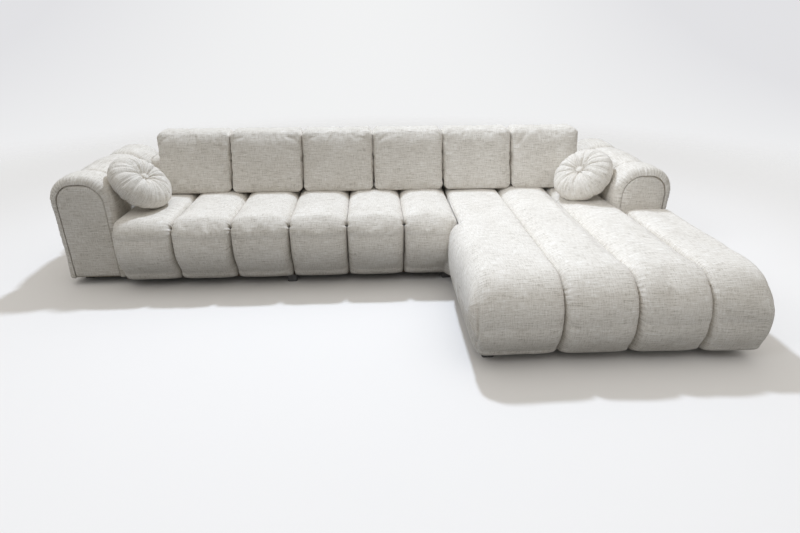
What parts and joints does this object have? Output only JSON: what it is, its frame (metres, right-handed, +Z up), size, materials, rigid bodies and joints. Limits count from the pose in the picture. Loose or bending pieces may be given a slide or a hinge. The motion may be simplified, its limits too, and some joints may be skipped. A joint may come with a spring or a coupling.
{
  "type": "corner sofa",
  "caption": "Low corner sofa with a chaise on the right, deep sewn channels over seat and arms, loose square back cushions and pleated round pillows.",
  "frame": {"origin": "on the floor under the middle of the whole outline", "axes": "+X to the right along the back as a sitter's guest sees it from the front, +Y towards the back, +Z up"},
  "size_m": [3.476, 1.87, 0.7735],
  "materials": {
    "upholstery": "warm light grey slubbed chenille weave over padding",
    "foam": "open-cell polyurethane foam",
    "webbing": "elastic woven webbing",
    "dust_cover": "black nonwoven cloth",
    "timber": "planed softwood and plywood",
    "feet": "moulded grey plastic",
    "plated_steel": "zinc-plated pressed steel"
  },
  "bodies": {
    "left_section": {"connector_straps": "plated_steel", "left_arm_bolts": "plated_steel", "left_arm_channel_front": "upholstery", "left_arm_channel_middle": "upholstery", "left_arm_channel_rear": "upholstery", "left_arm_end_boards": "timber", "left_arm_end_panels": "upholstery", "left_arm_stretchers": "timber", "left_back_pad": "upholstery", "left_back_top_rail": "timber", "left_back_uprights": "timber", "left_cross_rails": "timber", "left_dust_cover": "dust_cover", "left_feet": "feet", "left_foam": "foam", "left_long_rails": "timber", "left_outer_back": "upholstery", "left_webbing": "webbing", "seat_channel_1": "upholstery", "seat_channel_2": "upholstery", "seat_channel_3": "upholstery", "seat_channel_4": "upholstery", "seat_channel_5": "upholstery", "seat_channel_6": "upholstery"},
    "chaise_section": {"chaise_back_pad": "upholstery", "chaise_back_top_rail": "timber", "chaise_back_uprights": "timber", "chaise_channel_1": "upholstery", "chaise_channel_2": "upholstery", "chaise_channel_3": "upholstery", "chaise_channel_4": "upholstery", "chaise_dust_cover": "dust_cover", "chaise_feet": "feet", "chaise_foam": "foam", "chaise_front_rail": "timber", "chaise_left_rail": "timber", "chaise_outer_back": "upholstery", "chaise_rear_rail": "timber", "chaise_right_rails": "timber", "chaise_step_rail": "timber", "chaise_webbing": "webbing", "connector_hooks": "plated_steel", "right_arm_bolts": "plated_steel", "right_arm_channel_front": "upholstery", "right_arm_channel_middle": "upholstery", "right_arm_channel_rear": "upholstery", "right_arm_end_boards": "timber", "right_arm_end_panels": "upholstery", "right_arm_stretchers": "timber"},
    "back_cushion_1": {"back_cushion_1": "upholstery"},
    "back_cushion_2": {"back_cushion_2": "upholstery"},
    "back_cushion_3": {"back_cushion_3": "upholstery"},
    "back_cushion_4": {"back_cushion_4": "upholstery"},
    "back_cushion_5": {"back_cushion_5": "upholstery"},
    "back_cushion_6": {"back_cushion_6": "upholstery"},
    "round_pillow_left": {"left_pillow_buttons": "upholstery", "round_pillow_left": "upholstery"},
    "round_pillow_right": {"right_pillow_buttons": "upholstery", "round_pillow_right": "upholstery"}
  },
  "joints": [
    {"name": "chaise_lift", "type": "slide", "parent": "left_section", "child": "chaise_section", "axis": [0, 0, 1], "range_m": [0, 0.06]},
    {"name": "back_cushion_1_lift", "type": "slide", "parent": "left_section", "child": "back_cushion_1", "axis": [0, 0, 1], "range_m": [0, 0.45]},
    {"name": "back_cushion_2_lift", "type": "slide", "parent": "left_section", "child": "back_cushion_2", "axis": [0, 0, 1], "range_m": [0, 0.45]},
    {"name": "back_cushion_3_lift", "type": "slide", "parent": "left_section", "child": "back_cushion_3", "axis": [0, 0, 1], "range_m": [0, 0.45]},
    {"name": "back_cushion_4_lift", "type": "slide", "parent": "left_section", "child": "back_cushion_4", "axis": [0, 0, 1], "range_m": [0, 0.45]},
    {"name": "back_cushion_5_lift", "type": "slide", "parent": "chaise_section", "child": "back_cushion_5", "axis": [0, 0, 1], "range_m": [0, 0.45]},
    {"name": "back_cushion_6_lift", "type": "slide", "parent": "chaise_section", "child": "back_cushion_6", "axis": [0, 0, 1], "range_m": [0, 0.45]},
    {"name": "round_pillow_left_lift", "type": "slide", "parent": "left_section", "child": "round_pillow_left", "axis": [0.66, -0.13, 0.74], "range_m": [0, 0.3]},
    {"name": "round_pillow_right_lift", "type": "slide", "parent": "chaise_section", "child": "round_pillow_right", "axis": [-0.5998, -0.3349, 0.7267], "range_m": [0, 0.3]}
  ]
}
